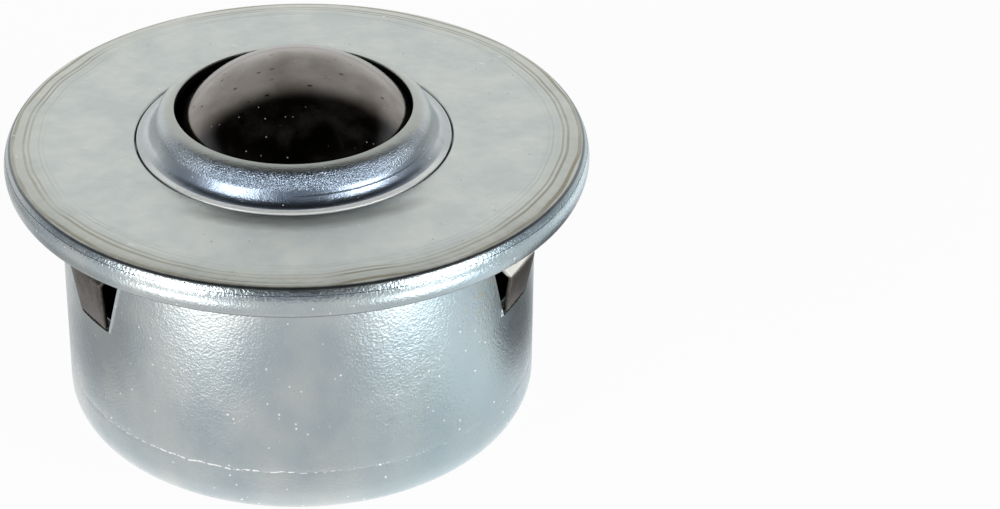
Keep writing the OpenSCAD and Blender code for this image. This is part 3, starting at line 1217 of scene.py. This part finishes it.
@dataclass
class SpringClaw:
    """One claw: a spring strip that hangs through its window, bent out to a ridge and back."""

    side: Side
    angle_deg: float
    root_z: float
    ridge_rise: float = 0.0
    strip_t: float = 0.35
    root_w: float = 4.3
    tip_w: float = 3.6
    root_r: float = 17.357
    bend_z: float = 18.341
    ridge: Point = (19.2, 16.795)
    tip: Point = (18.6, 13.395)
    bend_r: float = 0.35
    edge_r: float = 0.05
    shoulder: Point = (-0.05, 0.12)
    columns: int = 5

    @property
    def node(self) -> str:
        """Name of the claw's node."""
        return "claw_" + self.side.value

    @property
    def body(self) -> str:
        """Name of the body that the claw is."""
        return self.side.value + "_claw"

    @property
    def ridge_z(self) -> float:
        """Height of the claw's ridge."""
        return self.ridge[1] + self.ridge_rise

    @property
    def shoulder_z(self) -> Point:
        """Heights between which the shoulder above the ridge gets its painted highlight."""
        return self.ridge_z + self.shoulder[0], self.ridge_z + self.shoulder[1]

    def path(self) -> list[Point]:
        """Outer face of the strip from its root to its tip, with rounded bends."""
        ridge = (self.ridge[0], self.ridge_z)
        corners = [(self.root_r, self.root_z), (self.root_r, self.bend_z), ridge, self.tip]
        points = [corners[0]]
        for before, corner, after in zip(corners, corners[1:], corners[2:]):
            back = (Vector(before) - Vector(corner)).normalized() * self.bend_r
            on = (Vector(after) - Vector(corner)).normalized() * self.bend_r
            for share in (i / 6 for i in range(7)):
                pull = back * (1 - share) ** 2 + on * share**2
                points.append(tuple(Vector(corner) + pull))
        return points + [corners[-1]]

    def build(self, finish: Finish) -> bpy.types.Object:
        """Makes the strip and sets it in its window."""
        outer = [Vector(p) for p in self.path()]
        mesh = bmesh.new()
        rings = []
        for place, point in enumerate(outer):
            before, after = outer[max(place - 1, 0)], outer[min(place + 1, len(outer) - 1)]
            along = (after - before).normalized()
            within = point + Vector((along.y, -along.x)) * self.strip_t
            taper = min(1.0, max(0.0, (self.ridge_z - point.y) / (self.ridge_z - self.tip[1])))
            half = (self.root_w + (self.tip_w - self.root_w) * taper) / 2
            across = [half * (2 * i / self.columns - 1) for i in range(self.columns + 1)]
            ring = [mesh.verts.new((point.x, y, point.y)) for y in across]
            ring += [mesh.verts.new((within.x, y, within.y)) for y in reversed(across)]
            rings.append(ring)
        for ring, following in zip(rings, rings[1:]):
            for one, two in zip(range(len(ring)), [*range(1, len(ring)), 0]):
                mesh.faces.new((ring[one], ring[two], following[two], following[one]))
        mesh.faces.new(rings[0])
        mesh.faces.new(list(reversed(rings[-1])))
        bmesh.ops.recalc_face_normals(mesh, faces=mesh.faces)
        sharp = [e for e in mesh.edges if len(e.link_faces) == 2 and e.calc_face_angle() > math.radians(60)]
        bmesh.ops.bevel(mesh, geom=sharp, offset=self.edge_r, segments=2, affect="EDGES", profile=0.5)
        bmesh.ops.rotate(mesh, verts=mesh.verts, matrix=Matrix.Rotation(math.radians(self.angle_deg), 3, "Z"))
        piece = new_piece(self.node + "_strip", mesh, finish.material())
        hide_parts(self.node)
        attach(piece, self.body)
        return piece


@dataclass
class Studio:
    """The camera, a pale floor and soft studio light."""

    eye: Place = (-8.20, -218.42, 148.04)
    aim: Place = (15.16, -5.97, 15.47)
    roll_deg: float = 0.89
    lens: float = 117.36
    view_range: Point = (10.0, 10000.0)
    floor_size: float = 6000.0
    paper: str = "#F2F2F2"
    glow: str = "#FFFFFF"
    camera_share: float = 0.95
    floor_level: float = 0.88
    pool_core: float = 0.55
    pools: tuple[tuple[float, float, float, float], ...] = (
        (-42.0, -49.0, 24.0, 3.0),
        (41.5, -50.0, 24.0, 4.0),
        (-38.0, 0.0, 18.0, -0.35),
        (35.0, 4.0, 15.0, -0.7),
        (31.0, -15.0, 12.0, 0.35),
        (82.0, 34.0, 38.0, 0.9),
        (-82.0, 34.0, 38.0, -0.4),
        (0.0, 0.0, 27.0, 0.5),
    )
    sweep_edge: Point = (0.28, 0.62)
    sweep_strength: float = 1.35
    sweep_levels: tuple[Point, ...] = ((0.0, 0.88), (0.3, 0.76), (0.55, 0.62))
    front_tones: tuple[tuple[float, str], ...] = (
        (0.0, "#5C646E"),
        (0.22, "#959DA7"),
        (0.38, "#8B939D"),
        (0.54, "#0A0806"),
    )
    boxes: tuple[Point, ...] = ((-49.0, 2.9), (51.0, 3.3))
    box_distance: float = 700.0
    box_elevation: float = 17.0
    box_size: Point = (320.0, 340.0)

    def camera(self) -> None:
        """Places the camera."""
        data = bpy.data.cameras.new("camera")
        data.lens = self.lens
        data.clip_start, data.clip_end = (distance * MM for distance in self.view_range)
        camera = bpy.data.objects.new("camera", data)
        eye, aim = Vector(self.eye) * MM, Vector(self.aim) * MM
        forward = (aim - eye).normalized()
        level = forward.cross(Vector((0, 0, 1))).normalized()
        upright = level.cross(forward)
        roll = math.radians(self.roll_deg)
        right = level * math.cos(roll) + upright * math.sin(roll)
        turn = Matrix((right, right.cross(forward), -forward)).transposed().to_quaternion()
        camera.matrix_world = Matrix.LocRotScale(eye, turn, None)
        bpy.context.scene.collection.objects.link(camera)
        bpy.context.scene.camera = camera

    def floor(self) -> None:
        """Lays a white floor that keeps a faint shadow.

        To polished metal it shows the pools of light below the softboxes and the dim places
        beside the unit; pools gives each one's place, reach and strength.
        """
        mesh = bmesh.new()
        bmesh.ops.create_grid(mesh, x_segments=1, y_segments=1, size=self.floor_size / 2)
        material = bpy.data.materials.new("studio_floor_paper")
        floor = new_piece("floor", mesh, material)
        tree = blank_tree(material)
        place = millimetres(tree)
        level = add(tree, "Value")
        level.outputs[0].default_value = self.floor_level
        for x, y, reach, gain in self.pools:
            away = add(tree, "VectorMath", {0: place, 1: (x, y, 0.0)}, operation="DISTANCE")
            fade = {"Value": away, "From Min": reach, "From Max": reach * self.pool_core, "To Max": gain}
            pool = add(tree, "MapRange", fade, interpolation_type="SMOOTHSTEP")
            level = add(tree, "Math", {0: level, 1: pool}, operation="ADD")
        path = add(tree, "LightPath").outputs
        share = add(tree, "Math", {0: path["Is Camera Ray"], 1: self.camera_share}, operation="MULTIPLY")
        share = add(tree, "Math", {0: share, 1: path["Is Glossy Ray"]}, operation="MAXIMUM")
        shown = add(tree, "Mix", {"Factor": path["Is Camera Ray"], "A": level, "B": 1.0})
        paper = add(tree, "BsdfDiffuse", {"Color": linear(self.paper)})
        glow = add(tree, "Emission", {"Color": linear(self.glow), "Strength": shown})
        add(tree, "OutputMaterial", {"Surface": add(tree, "MixShader", {0: share, 1: paper, 2: glow})})

    def surroundings(self) -> None:
        """Makes the room: a pale sweep behind the unit, a dim front and black overhead."""
        world = bpy.data.worlds.new("studio_room")
        bpy.context.scene.world = world
        tree = blank_tree(world)
        axes = add(tree, "SeparateXYZ", {0: add(tree, "TexCoord").outputs["Generated"]}).outputs
        edge = {"Value": axes["Y"], "From Min": self.sweep_edge[0], "From Max": self.sweep_edge[1]}
        behind = add(tree, "MapRange", edge, interpolation_type="SMOOTHSTEP")
        levels = [(height, (level, level, level, 1.0)) for height, level in self.sweep_levels]
        sweep = add(tree, "ValToRGB", {"Fac": axes["Z"]}, stops=levels)
        sweep = add(tree, "VectorMath", {0: sweep, "Scale": self.sweep_strength}, operation="SCALE")
        tones = [(height, linear(tone)) for height, tone in self.front_tones]
        dark = add(tree, "ValToRGB", {"Fac": axes["Z"]}, stops=tones)
        room = add(tree, "Mix", {"Factor": behind, "A": dark, "B": sweep}, data_type="RGBA")
        seen = add(tree, "LightPath").outputs["Is Camera Ray"]
        light = add(tree, "Background", {"Color": painted(tree, room, [(seen, self.glow)])})
        add(tree, "OutputWorld", {"Surface": light})

    def softboxes(self) -> None:
        """Hangs a softbox at each side of the front."""
        for azimuth, power in self.boxes:
            data = bpy.data.lights.new("softbox", "AREA")
            data.shape = "RECTANGLE"
            data.size, data.size_y = (side * MM for side in self.box_size)
            data.energy = power
            lamp = bpy.data.objects.new("softbox", data)
            a, e = math.radians(azimuth), math.radians(self.box_elevation)
            way = Vector((math.sin(a) * math.cos(e), -math.cos(a) * math.cos(e), math.sin(e)))
            lamp.location = way * self.box_distance * MM
            lamp.rotation_mode = "QUATERNION"
            lamp.rotation_quaternion = way.to_track_quat("Z", "Y")
            bpy.context.scene.collection.objects.link(lamp)

    def build(self) -> None:
        """Sets the whole studio up."""
        bpy.context.scene.view_settings.view_transform = "Standard"
        self.camera()
        self.floor()
        self.surroundings()
        self.softboxes()


# ---------------------------------------------------------------- the whole unit


def claws(root_z: float) -> list[bpy.types.Object]:
    """Makes the three claws, of which only the right one's shoulder gets a painted highlight.

    Args:
        root_z: Height of the claws' roots.

    Returns:
        The claws' pieces.
    """
    made = []
    for side, angle, rise in ((Side.LEFT, -150.0, 0.85), (Side.RIGHT, -30.0, 0.0), (Side.REAR, 90.0, 0.3)):
        claw = SpringClaw(side, angle, root_z, rise)
        # The right claw's shoulder gets a painted highlight.
        highlighted = TemperedSpringSteel("spring_steel_painted_highlight", shoulder_highlight_z=claw.shoulder_z)
        made.append(claw.build(highlighted if side is Side.RIGHT else TemperedSpringSteel()))
    return made


def refinish(node: bpy.types.Object, material: bpy.types.Material) -> None:
    """Gives a carried-over node a material of its own."""
    node.data.materials.clear()
    node.data.materials.append(material)


def main() -> None:
    """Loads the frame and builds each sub-assembly."""
    logging.basicConfig(level=logging.INFO, format="%(message)s")
    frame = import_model()
    Studio().build()
    sheet = Sheet()
    cap = RetainingCap(sheet, CapZinc(lip_z=sheet.lip_z, plate_z=sheet.plate_z))
    housing = DrawnHousing(sheet, HousingZinc())
    hole_r = cap.neck_r() + cap.hole_gap
    plate = TopPlate(sheet, PlateZinc(foot_r=cap.neck_r()), HousingZinc(), hole_r, cap.crown_shift)
    pieces = [housing.build(), plate.build(), cap.build(), *claws(housing.claw_root_z)]
    for piece in pieces:
        log.info("%s: %d faces", piece.name, len(piece.data.polygons))
    refinish(frame["nodes"]["claw_ring"], TemperedSpringSteel().material())
    steel = PolishedBearingSteel().material()
    for name, node in frame["nodes"].items():
        if "ball" in name or "row" in name or name == "support_cup":
            refinish(node, steel)


if __name__ == "__main__":
    main()
